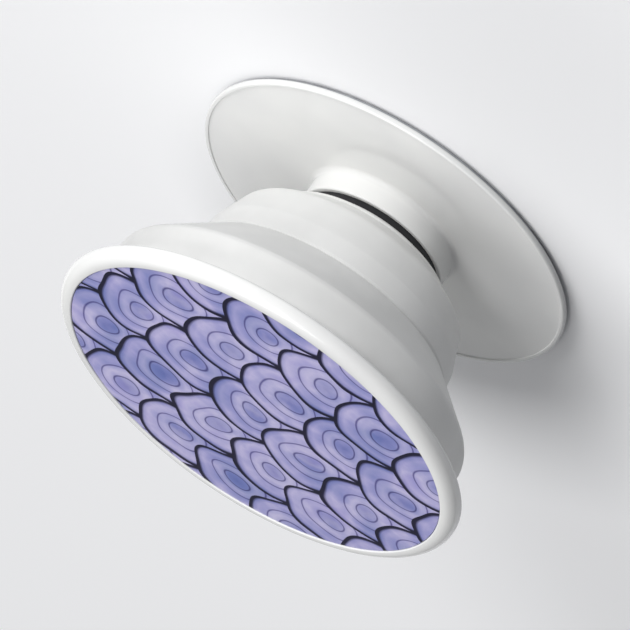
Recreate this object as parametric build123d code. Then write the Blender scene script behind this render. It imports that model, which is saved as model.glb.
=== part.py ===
from build123d import *
from math import atan2, tan
import os

os.makedirs("parts", exist_ok=True)

# Adhesive pad
pad_diameter = 35.4
pad_thickness = 0.35

# Base: a thin disc with a raised rim, a neck and a post for the bush
base_diameter = 36.2
base_thickness = 0.6
base_edge_round = 0.2
rim_width = 0.4
rim_step = 0.12
neck_diameter = 14.2
neck_height = 2.25
neck_flare = 0.5
neck_edge_round = 0.15
post_diameter = 6.0
post_drop = 0.2

# Snap bush: flange, groove and barbed head
bush_wall = 1.3
bush_flange_inset = 0.4
bush_flange_height = 0.65
bush_edge_round = 0.15
bush_barb = 0.7
bush_barb_land = 0.2
bush_head_height = 0.7
bush_fit = 0.02

# Bellows: outer diameters and heights of its steps
bellows_wall = 0.8
collar_land = 1.85
lip_bead = 1.1
lip_bead_diameter = 16.0
lip_diameter = 22.4
lip_rise = 3.79
cone_height = 2.95
waist_diameter = 24.6
waist_flare = 0.3
waist_height = 2.2
shoulder_height = 4.65
ring_diameter = 35.0
ring_height = 4.18
hinge_groove = 0.25
bend_round = 0.4

# Cap: rounded rim, shallow recess for the printed face, skirt with a snap bead
cap_diameter = 39.7
cap_thickness = 1.45
cap_back_round = 0.25
cap_edge_land = 0.1
cap_pocket = 0.3
skirt_width = 1.2
skirt_height = 2.2
mouth_flange_width = 1.3
mouth_flange_thickness = 1.1
snap_bead = 0.35
snap_bead_land = 0.3
snap_lead_in = 0.2
snap_clearance = 0.05

# Printed face
bezel_width = 1.5
print_thickness = 0.3
print_crown = 0.2
print_sunk = 0.1
print_clearance = 0.05

# Heights above the adhesive face
base_top = pad_thickness + base_thickness
face_z = base_top - rim_step
neck_z = face_z + neck_height
flange_z = neck_z + bush_flange_height
collar_z = flange_z + snap_clearance + bellows_wall / 2
barb_z = collar_z + bellows_wall / 2 + snap_clearance
head_z = barb_z + bush_head_height
lip_z = neck_z + lip_rise
waist_z = lip_z + cone_height
band_z = waist_z + waist_height
ring_z = band_z + shoulder_height
cap_z = ring_z + ring_height
cap_top = cap_z + cap_thickness
bead_z = cap_z - mouth_flange_thickness - 2 * snap_clearance

# Radii shared by pieces that meet
post_r = post_diameter / 2
groove_r = post_r + bush_wall
barb_r = groove_r + bush_barb
ring_r = ring_diameter / 2
mouth_r = ring_r - bellows_wall - mouth_flange_width
skirt_r = mouth_r - snap_clearance
print_r = cap_diameter / 2 - bezel_width


def section(*corners):
    """Closed half section from (radius, height) corners, a third value rounds that corner."""
    face = make_face(Polyline(*[corner[:2] for corner in corners], close=True))
    for corner in corners:
        if len(corner) == 3:
            point = face.vertices().sort_by_distance((corner[0], corner[1], 0))[0]
            face = fillet(point, corner[2])
    return face


def turned(face):
    """Solid of revolution about the grip's axis from a half section."""
    return revolve(Plane.XZ * face, Axis.Z)


def adhesive_pad():
    return extrude(Circle(pad_diameter / 2), pad_thickness)


def base_plate():
    edge_r = base_diameter / 2
    neck_r = neck_diameter / 2
    return turned(section(
        (0, pad_thickness),
        (edge_r, pad_thickness, base_edge_round),
        (edge_r, base_top, base_edge_round),
        (edge_r - rim_width, base_top),
        (edge_r - rim_width, face_z),
        (neck_r, face_z, neck_flare),
        (neck_r, neck_z, neck_edge_round),
        (post_r, neck_z),
        (post_r, head_z - post_drop),
        (0, head_z - post_drop),
    ))


def snap_bush():
    bore_r = post_r + bush_fit
    flange_r = neck_diameter / 2 - bush_flange_inset
    return turned(section(
        (bore_r, neck_z),
        (flange_r, neck_z),
        (flange_r, flange_z, bush_edge_round),
        (groove_r, flange_z),
        (groove_r, barb_z),
        (barb_r, barb_z),
        (barb_r, barb_z + bush_barb_land),
        (groove_r, head_z),
        (bore_r, head_z),
    ))


def bellows():
    half = bellows_wall / 2
    root_r = barb_r + collar_land
    lip_r = lip_diameter / 2 - half
    waist_r = waist_diameter / 2 - half
    foot_r = waist_r + waist_flare
    wide_r = ring_r - half
    path = FilletPolyline(
        (groove_r + snap_clearance + half, collar_z),
        (root_r, collar_z),
        (lip_r, lip_z),
        (waist_r, waist_z),
        (foot_r, band_z),
        (wide_r, ring_z),
        (wide_r, cap_z - half),
        radius=bend_round,
    )
    wall = make_face(offset(path, half, side=Side.BOTH))

    # the bead sits on the sloping web between the collar and the lip
    bead_r = lip_bead_diameter / 2
    bead_rise = (bead_r - root_r) * (lip_z - collar_z) / (lip_r - root_r)
    bead = Pos(bead_r, collar_z + bead_rise) * Circle(lip_bead / 2)

    flange = section(
        (mouth_r, cap_z - mouth_flange_thickness),
        (wide_r, cap_z - mouth_flange_thickness),
        (wide_r, cap_z),
        (mouth_r, cap_z),
    )

    # a groove on the inside of each sharp bend lets the wall fold there
    hinge_drop = half * tan(atan2(wide_r - foot_r, shoulder_height) / 2)
    outer_hinge = Pos(foot_r + half, band_z - hinge_drop) * Circle(hinge_groove)
    inner_hinge = Pos(wide_r - half, ring_z + hinge_drop) * Circle(hinge_groove)
    return turned(wall + bead + flange - outer_hinge - inner_hinge)


def cap():
    rim_r = cap_diameter / 2
    pocket_r = print_r + print_clearance
    floor_z = cap_top - print_sunk - print_thickness
    inner_z = cap_z + cap_pocket
    skirt_z = cap_z - skirt_height
    return turned(section(
        (0, inner_z),
        (skirt_r - skirt_width, inner_z),
        (skirt_r - skirt_width, skirt_z),
        (skirt_r - snap_lead_in, skirt_z),
        (skirt_r + snap_bead, bead_z - snap_bead_land),
        (skirt_r + snap_bead, bead_z),
        (skirt_r, bead_z),
        (skirt_r, cap_z),
        (rim_r, cap_z, cap_back_round),
        (rim_r, cap_top, cap_thickness - cap_back_round - cap_edge_land),
        (pocket_r, cap_top),
        (pocket_r, floor_z),
        (0, floor_z),
    ))


def print_disc():
    edge_z = cap_top - print_sunk
    floor_z = edge_z - print_thickness
    crown = ThreePointArc((print_r, edge_z), (0, edge_z + print_crown), (-print_r, edge_z))
    lines = [
        Line((0, floor_z), (print_r, floor_z)),
        Line((print_r, floor_z), (print_r, edge_z)),
        crown.trim(0, 0.5),
        Line((0, edge_z + print_crown), (0, floor_z)),
    ]
    return turned(make_face(lines))


for piece in (adhesive_pad, base_plate, snap_bush, bellows, cap, print_disc):
    export_step(piece(), f"parts/{piece.__name__}.step")
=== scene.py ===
from math import asin, cos, pi, radians, sin, tan

import bmesh
import bpy
from mathutils import Matrix, Quaternion, Vector


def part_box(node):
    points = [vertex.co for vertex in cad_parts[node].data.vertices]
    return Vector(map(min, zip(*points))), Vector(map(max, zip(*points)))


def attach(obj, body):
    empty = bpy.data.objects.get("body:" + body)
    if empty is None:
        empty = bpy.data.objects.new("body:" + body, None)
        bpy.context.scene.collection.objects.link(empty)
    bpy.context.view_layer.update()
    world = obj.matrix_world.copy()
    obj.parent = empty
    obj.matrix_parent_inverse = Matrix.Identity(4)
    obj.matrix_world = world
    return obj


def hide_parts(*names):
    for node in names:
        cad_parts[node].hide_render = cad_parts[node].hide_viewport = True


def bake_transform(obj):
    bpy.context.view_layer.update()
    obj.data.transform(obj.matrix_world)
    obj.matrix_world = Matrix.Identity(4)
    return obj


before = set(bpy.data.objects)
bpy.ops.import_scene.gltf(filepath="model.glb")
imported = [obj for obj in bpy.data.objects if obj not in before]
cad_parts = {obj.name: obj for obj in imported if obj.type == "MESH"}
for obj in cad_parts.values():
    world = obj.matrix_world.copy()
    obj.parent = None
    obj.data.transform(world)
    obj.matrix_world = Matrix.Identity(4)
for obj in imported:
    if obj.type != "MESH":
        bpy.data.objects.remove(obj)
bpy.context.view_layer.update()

# Sizes in millimetres, heights above the adhesive face
mm = 0.001
spin_steps = 192
round_steps = 8
sharp_turn = 32

# Gel pad
pad_round = 0.12

# Moulded base: raised rim, neck and post
base_round = 0.2
rim_width = 0.4
rim_step = 0.12
step_round = 0.05
face_height = 0.83
neck_radius = 7.1
neck_flare = 0.5
neck_top = 3.08
neck_round = 0.15
post_radius = 3.0

# Retaining bush: bore, flange, groove and barbed head
bore_radius = 3.02
groove_radius = 4.3
flange_height = 3.73
barb_radius = 5.0
barb_height = 4.63
barb_land = 0.2
bush_round = 0.15

# Bellows: middle line of its wall as radius, height, bend and hinge groove
wall = 0.8
collar_height = 4.18
collar_end = (4.35, collar_height, 0.35, 0)
collar_root = (6.85, collar_height, 0.5, 0)
lip = (10.8, 6.87, 0.8, 0)
waist = (11.9, 9.82, 0.2, 0)
hinge = (12.2, 12.02, 0, 0.22)
ring = (17.1, 16.67, 0.5, -0.22)
crease_round = 0.06
bead_middle = 8.0
bead_radius = 0.55
bead_steps = 14
mouth_radius = 15.4
mouth_flange = 1.1

# Cap: snap skirt and rounded rim
cap_thickness = 1.45
skirt_inner = 14.15
skirt_outer = 15.35
skirt_round = 0.12
snap_bead = 0.35
snap_height = 19.65
snap_land = 0.3
lead_in = 0.2
under_height = 21.15
back_round = 0.25
rim_round = 1.1
bezel_round = 0.12
pocket_radius = 18.4
pocket_depth = 0.4

# Printed face
print_round = 0.06
crown = 0.2
crown_rings = 10

# Camera, in degrees, millimetres of lens and metres
elevation = 24.3
roll = -145.3
lens = 467
sensor = 36
camera_distance = 0.7
middle = Vector((0.0004, 0, 0.0116))

# Studio in metres: lamps as direction, distance, size, watts and whether gloss mirrors them
floor_size = 4
floor_gap = 0.02 * mm
daylight = 0.21
lamps = {
    "key": ((0.7, -0.7, 0.24), 0.8, 0.35, 4.5, False),
    "top": ((0.35, -0.3, 1), 0.9, 0.6, 4.4, True),
    "fill": ((0, 1, 0.35), 0.8, 0.5, 1.8, False),
}


def reach(node):
    """Outer radius, foot and top of a node, in millimetres."""
    low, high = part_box(node)
    return high.x / mm, low.z / mm, high.z / mm


def turned(name, body, node, finish, corners):
    """Piece spun about the grip's axis from its half section: corners of radius, height and rounding."""
    bm = bmesh.new()
    outline = [bm.verts.new((corner[0] * mm, 0, corner[1] * mm)) for corner in corners]
    for start, end in zip(outline, outline[1:] + outline[:1]):
        if max(start.co.x, end.co.x) > 0:
            bm.edges.new((start, end))
    for vert, corner in zip(outline, corners):
        if len(corner) == 3:
            before, after = [edge.other_vert(vert).co - vert.co for edge in vert.link_edges]
            setback = corner[2] * mm / tan(before.angle(after) / 2)
            bmesh.ops.bevel(bm, geom=[vert], offset=setback, offset_type="OFFSET", affect="VERTICES",
                            segments=round_steps, profile=0.5, material=-1)
    bmesh.ops.spin(bm, geom=bm.verts[:] + bm.edges[:], cent=(0, 0, 0), axis=(0, 0, 1),
                   angle=2 * pi, steps=spin_steps, use_merge=True)
    bmesh.ops.remove_doubles(bm, verts=bm.verts[:], dist=mm / 1000)
    bmesh.ops.recalc_face_normals(bm, faces=bm.faces[:])
    mesh = bpy.data.meshes.new(name)
    bm.to_mesh(mesh)
    bm.free()
    mesh.shade_smooth()
    mesh.set_sharp_from_angle(angle=radians(sharp_turn))
    mesh.materials.append(finish)
    piece = bpy.data.objects.new(name, mesh)
    bpy.context.scene.collection.objects.link(piece)
    shading = piece.modifiers.new("even shading", "WEIGHTED_NORMAL")
    shading.keep_sharp = True
    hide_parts(node)
    if body:
        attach(piece, body)
    return piece


def wall_side(path, offset):
    """Corners of one face of a bent wall: mitred and rounded at its bends, grooved at its hinges."""
    points = [Vector(stop[:2]) for stop in path]
    runs = [(end - start).normalized() for start, end in zip(points, points[1:])]
    corners = []
    for point, stop, come, go in zip(points, path, runs[:1] + runs, runs + runs[-1:]):
        side = Vector((come.y + go.y, -come.x - go.x))
        place = point + side * offset / (1 + come.dot(go))
        bend, groove = stop[2:]
        turn = come.cross(go)
        if groove * offset > 0:
            depth = abs(groove)
            corners.append((*(place - come * depth), crease_round))
            corners.append((*(place - side.normalized() * groove), crease_round))
            corners.append((*(place + go * depth), crease_round))
        else:
            bent = bend + offset * ((turn > 0) - (turn < 0))
            corners.append((*place, max(bent, crease_round)))
    return corners


def linear(code):
    """Linear colour of an sRGB hex code."""
    parts = [int(code[i:i + 2], 16) / 255 for i in (1, 3, 5)]
    return [p / 12.92 if p <= 0.04045 else ((p + 0.055) / 1.055) ** 2.4 for p in parts] + [1]


def material(name):
    """New material, its node tree and its surface shader."""
    made = bpy.data.materials.new(name)
    made.use_nodes = True
    return made, made.node_tree, made.node_tree.nodes["Principled BSDF"]


def add(tree, kind, inputs, **settings):
    """Adds a node with its settings, and sets or links its inputs."""
    node = tree.nodes.new("ShaderNode" + kind)
    for name, value in settings.items():
        setattr(node, name, value)
    join(tree, node, inputs)
    return node


def join(tree, node, inputs):
    """Sets a node's inputs to values, or links them to the sockets given."""
    for name, value in inputs.items():
        if isinstance(value, bpy.types.NodeSocket):
            tree.links.new(value, node.inputs[name])
        else:
            node.inputs[name].default_value = value


def ramp(tree, value, stops):
    """Colour blended through stops of position and hex code."""
    node = add(tree, "ValToRGB", {"Fac": value})
    points = node.color_ramp.elements
    while len(points) < len(stops):
        points.new(1)
    for point, (position, code) in zip(points, stops):
        point.position = position
        point.color = linear(code)
    return node.outputs["Color"]


def white_abs():
    """Injection-moulded gloss ABS: clean white, a clear reflection with a faint ripple."""
    made, tree, skin = material("moulded gloss ABS")
    place = add(tree, "TexCoord", {}).outputs["Object"]
    cloud = add(tree, "TexNoise", {"Vector": place, "Scale": 1 / (9 * mm), "Detail": 2})
    tone = ramp(tree, cloud.outputs["Fac"], ((0.3, "#eeeeed"), (0.7, "#f7f7f5")))
    ripple = add(tree, "TexNoise", {"Vector": place, "Scale": 1 / (1.6 * mm), "Detail": 1})
    gloss = add(tree, "MapRange", {"Value": ripple.outputs["Fac"], "To Min": 0.1, "To Max": 0.16})
    relief = add(tree, "Bump", {"Height": ripple.outputs["Fac"], "Strength": 0.1, "Distance": 0.006 * mm})
    join(tree, skin, {"Base Color": tone, "Roughness": gloss.outputs[0],
                      "Normal": relief.outputs[0], "IOR": 1.53})
    return made


def white_elastomer():
    """Moulded thermoplastic elastomer: soft satin white with a fine tool grain."""
    made, tree, skin = material("moulded satin elastomer")
    place = add(tree, "TexCoord", {}).outputs["Object"]
    cloud = add(tree, "TexNoise", {"Vector": place, "Scale": 1 / (7 * mm), "Detail": 3})
    tone = ramp(tree, cloud.outputs["Fac"], ((0.3, "#e6e6e4"), (0.7, "#f2f2f0")))
    grain = add(tree, "TexNoise", {"Vector": place, "Scale": 1 / (0.22 * mm), "Detail": 2})
    satin = add(tree, "MapRange", {"Value": grain.outputs["Fac"], "To Min": 0.42, "To Max": 0.58})
    relief = add(tree, "Bump", {"Height": grain.outputs["Fac"], "Strength": 0.25, "Distance": 0.012 * mm})
    join(tree, skin, {"Base Color": tone, "Roughness": satin.outputs[0],
                      "Normal": relief.outputs[0], "IOR": 1.48})
    return made


def slit_shade_black():
    """Turned acetal, dull, with faint tool rings; its near-black is painted shade for the deep slit
    between neck and bellows.
    """
    made, tree, skin = material("black acetal painted as slit shade")
    place = add(tree, "TexCoord", {}).outputs["Object"]
    rings = add(tree, "TexWave", {"Vector": place, "Scale": 1 / (3 * mm), "Distortion": 0.5},
                wave_type="RINGS", rings_direction="Z")
    # near-black painted shade for the slit, lighter in faint tool rings
    tone = ramp(tree, rings.outputs["Fac"], ((0, "#1c1c1f"), (1, "#2b2b2f")))
    dull = add(tree, "MapRange", {"Value": rings.outputs["Fac"], "To Min": 0.38, "To Max": 0.5})
    join(tree, skin, {"Base Color": tone, "Roughness": dull.outputs[0], "IOR": 1.48})
    return made


def grey_gel():
    """Cast adhesive gel: pale grey, tacky and slightly uneven."""
    made, tree, skin = material("cast adhesive gel")
    place = add(tree, "TexCoord", {}).outputs["Object"]
    cloud = add(tree, "TexNoise", {"Vector": place, "Scale": 1 / (1.5 * mm), "Detail": 4})
    tone = ramp(tree, cloud.outputs["Fac"], ((0.3, "#9a9ca1"), (0.7, "#b4b6ba")))
    tack = add(tree, "MapRange", {"Value": cloud.outputs["Fac"], "To Min": 0.3, "To Max": 0.55})
    relief = add(tree, "Bump", {"Height": cloud.outputs["Fac"], "Strength": 0.4, "Distance": 0.05 * mm})
    join(tree, skin, {"Base Color": tone, "Roughness": tack.outputs[0],
                      "Normal": relief.outputs[0], "IOR": 1.43})
    return made


def scallop_print():
    """Dye print under a clear coat: lavender scallops drawn in dark ink over a mottled wash."""
    made, tree, skin = material("dye print under clear coat")
    scallop = 4.7 * mm
    turn = radians(62)
    swing = 0.35
    place = add(tree, "TexCoord", {}).outputs["Object"]

    # scallops in staggered rows, swaying as if drawn by hand
    grid = add(tree, "Mapping", {"Vector": place, "Rotation": (0, 0, turn), "Scale": (1 / scallop,) * 3})
    wobble = add(tree, "TexNoise", {"Vector": grid.outputs[0], "Scale": 1.1, "Detail": 0})
    sway = add(tree, "VectorMath", {0: wobble.outputs["Color"], 1: (0.5, 0.5, 0.5)}, operation="SUBTRACT")
    drawn = add(tree, "VectorMath", {0: sway.outputs[0], 1: (swing, swing, 0), 2: grid.outputs[0]},
                operation="MULTIPLY_ADD")
    axes = add(tree, "SeparateXYZ", {"Vector": drawn.outputs[0]})
    row = add(tree, "Math", {0: axes.outputs["Y"]}, operation="FLOOR")
    rise = add(tree, "Math", {0: axes.outputs["Y"]}, operation="FRACT")
    shifted = add(tree, "Math", {0: axes.outputs["X"], 1: row.outputs[0]}, operation="ADD")
    across = add(tree, "Math", {0: shifted.outputs[0], 1: 1}, operation="PINGPONG")
    front = add(tree, "CombineXYZ", {"X": across.outputs[0], "Y": rise.outputs[0]})
    behind = add(tree, "VectorMath", {0: (1, 1, 0), 1: front.outputs[0]}, operation="SUBTRACT")
    near = add(tree, "VectorMath", {0: front.outputs[0]}, operation="LENGTH")
    far = add(tree, "VectorMath", {0: behind.outputs[0]}, operation="LENGTH")
    inside = add(tree, "Math", {0: near.outputs["Value"], 1: 1}, operation="LESS_THAN")
    distance = add(tree, "Mix", {"Factor": inside.outputs[0], 2: far.outputs["Value"],
                                 3: near.outputs["Value"]})

    # washes of two scales under bands that follow each scallop
    wash = add(tree, "TexNoise", {"Vector": place, "Scale": 1 / (5 * mm), "Detail": 6})
    pools = ramp(tree, wash.outputs["Fac"], (
        (0.34, "#6c7abc"), (0.46, "#9a99d2"), (0.56, "#cac3e8"), (0.66, "#a8a0da")))
    bands = ramp(tree, distance.outputs[0], (
        (0, "#5c66ac"), (0.22, "#7c85c4"), (0.4, "#d0cbec"),
        (0.6, "#a2a2d8"), (0.78, "#c8c1ea"), (0.9, "#7a7ec0")))
    paint = add(tree, "Mix", {"Factor": 0.55, 6: bands, 7: pools}, data_type="RGBA")
    ink = ramp(tree, distance.outputs[0], (
        (0.24, "#ffffff"), (0.27, "#5a5290"), (0.3, "#ffffff"),
        (0.52, "#ffffff"), (0.55, "#6a629c"), (0.58, "#ffffff"),
        (0.88, "#ffffff"), (0.93, "#1d1242"), (1, "#140a30")))
    dyed = add(tree, "Mix", {"Factor": 1, 6: paint.outputs[2], 7: ink},
               data_type="RGBA", blend_type="MULTIPLY")
    fleck = add(tree, "TexNoise", {"Vector": place, "Scale": 1 / (0.35 * mm), "Detail": 2})
    sheen = add(tree, "MapRange", {"Value": fleck.outputs["Fac"], "To Min": 0.3, "To Max": 0.42})
    join(tree, skin, {"Base Color": dyed.outputs[2], "Roughness": sheen.outputs[0], "IOR": 1.5,
                      "Specular IOR Level": 0.35, "Coat Weight": 0.2, "Coat Roughness": 0.12})
    return made


def gel_pad(finish):
    """Flat adhesive disc under the base."""
    radius, foot, top = reach("adhesive_pad")
    corners = [(0, foot), (radius, foot, pad_round), (radius, top, pad_round), (0, top)]
    return turned("gel_pad", "base", "adhesive_pad", finish, corners)


def moulded_base(finish):
    """Thin disc with a raised rim, a neck and a post."""
    radius, foot, top = reach("base_plate")
    rim = face_height + rim_step
    corners = [
        (0, foot),
        (radius, foot, base_round),
        (radius, rim, base_round),
        (radius - rim_width, rim, step_round),
        (radius - rim_width, face_height, step_round),
        (neck_radius, face_height, neck_flare),
        (neck_radius, neck_top, neck_round),
        (post_radius, neck_top),
        (post_radius, top),
        (0, top),
    ]
    return turned("moulded_base", "base", "base_plate", finish, corners)


def retaining_bush(finish):
    """Bush on the post: its groove holds the bellows' collar."""
    radius, foot, top = reach("snap_bush")
    corners = [
        (bore_radius, foot),
        (radius, foot),
        (radius, flange_height, bush_round),
        (groove_radius, flange_height),
        (groove_radius, barb_height),
        (barb_radius, barb_height),
        (barb_radius, barb_height + barb_land),
        (groove_radius, top),
        (bore_radius, top),
    ]
    return turned("retaining_bush", "base", "snap_bush", finish, corners)


def bellows_sleeve(finish):
    """Stepped wall from collar to mouth, with a bead under its lip."""
    radius, _, top = reach("bellows")
    half = wall / 2
    path = [collar_end, collar_root, lip, waist, hinge, ring, (radius - half, top, half, 0)]
    root = Vector(collar_root[:2])
    along = (Vector(lip[:2]) - root).normalized()
    centre = root + along * (bead_middle - root.x) / along.x
    first = asin(half / bead_radius)
    faces = []
    for offset in (half, -half):
        face = wall_side(path, offset)
        out = Vector((along.y, -along.x)) * offset / half
        for step in range(bead_steps + 1):
            angle = pi - first - (pi - 2 * first) * step / bead_steps
            face.insert(2, tuple(centre + (out * sin(angle) - along * cos(angle)) * bead_radius))
        faces.append(face)
    outer, inner = faces
    flange = [
        (mouth_radius, top),
        (mouth_radius, top - mouth_flange),
        (radius - wall, top - mouth_flange),
    ]
    corners = outer + flange + inner[-2::-1]
    sleeve = turned("bellows_sleeve", None, "bellows", finish, corners)
    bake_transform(sleeve)
    return sleeve


def moulded_cap(finish):
    """Plate with a rounded rim, a pocket for the printed face and a snap skirt below."""
    radius, foot, top = reach("cap")
    back = top - cap_thickness
    corners = [
        (0, under_height),
        (skirt_inner, under_height),
        (skirt_inner, foot, skirt_round),
        (skirt_outer - lead_in, foot),
        (skirt_outer + snap_bead, snap_height - snap_land),
        (skirt_outer + snap_bead, snap_height),
        (skirt_outer, snap_height),
        (skirt_outer, back),
        (radius, back, back_round),
        (radius, top, rim_round),
        (pocket_radius, top, bezel_round),
        (pocket_radius, top - pocket_depth),
        (0, top - pocket_depth),
    ]
    return turned("moulded_cap", "top", "cap", finish, corners)


def printed_face(finish):
    """Slightly domed disc in the cap's pocket."""
    radius, foot, top = reach("print_disc")
    edge = top - crown
    corners = [(0, foot), (radius, foot), (radius, edge, print_round)]
    for step in range(crown_rings, -1, -1):
        share = step / (crown_rings + 1)
        corners.append((radius * share, edge + crown * (1 - share ** 2)))
    return turned("printed_face", "top", "print_disc", finish, corners)


def lamp(name, direction, distance, size, power, mirrored):
    """Soft square light aimed at the grip's middle, seen in its gloss or not."""
    light = bpy.data.lights.new(name, "AREA")
    light.size = size
    light.energy = power
    holder = bpy.data.objects.new(name, light)
    bpy.context.scene.collection.objects.link(holder)
    aim = Vector(direction).normalized()
    holder.location = middle + aim * distance
    holder.rotation_mode = "QUATERNION"
    holder.rotation_quaternion = aim.to_track_quat("Z", "Y")
    holder.visible_glossy = mirrored


def studio():
    """Pale floor, soft daylight all round and three lamps."""
    bm = bmesh.new()
    bmesh.ops.create_grid(bm, x_segments=1, y_segments=1, size=floor_size,
                          matrix=Matrix.Translation((0, 0, -floor_gap)))
    mesh = bpy.data.meshes.new("floor")
    bm.to_mesh(mesh)
    bm.free()
    paper, tree, skin = material("matt studio paper")

    # pale to the eye and in gloss, greyer to the light that bounces off it
    path = add(tree, "LightPath", {}).outputs
    mirrored = add(tree, "Math", {0: path["Is Glossy Ray"], 1: path["Is Transmission Ray"]},
                   operation="MAXIMUM")
    seen = add(tree, "Math", {0: path["Is Camera Ray"], 1: mirrored.outputs[0]},
               operation="MAXIMUM")
    tone = add(tree, "Mix", {"Factor": seen.outputs[0], 6: linear("#a9aaad"), 7: linear("#fafafb")},
               data_type="RGBA")
    join(tree, skin, {"Base Color": tone.outputs[2], "Roughness": 0.9, "Specular IOR Level": 0.2})
    mesh.materials.append(paper)
    floor = bpy.data.objects.new("floor", mesh)
    bpy.context.scene.collection.objects.link(floor)
    world = bpy.data.worlds.new("studio")
    world.use_nodes = True
    bpy.context.scene.world = world
    sky = world.node_tree.nodes["Background"]
    join(world.node_tree, sky, {"Color": linear("#f4f6fa"), "Strength": daylight})
    for name, settings in lamps.items():
        lamp(name, *settings)


def camera():
    """Long lens at the photograph's angle, rolled so that the cap points down and to the left."""
    data = bpy.data.cameras.new("camera")
    data.lens = lens
    data.sensor_width = sensor
    holder = bpy.data.objects.new("camera", data)
    bpy.context.scene.collection.objects.link(holder)
    tilt = radians(elevation)
    back = Vector((0, -cos(tilt), sin(tilt)))
    holder.location = middle + back * camera_distance
    holder.rotation_mode = "QUATERNION"
    holder.rotation_quaternion = back.to_track_quat("Z", "Y") @ Quaternion((0, 0, 1), radians(roll))
    bpy.context.scene.camera = holder


gloss = white_abs()
gel_pad(grey_gel())
moulded_base(gloss)
# the bush's near-black is painted shade for the slit under the bellows' lip
retaining_bush(slit_shade_black())
bellows_sleeve(white_elastomer())
moulded_cap(gloss)
printed_face(scallop_print())
studio()
camera()
bpy.context.scene.view_settings.view_transform = "Standard"
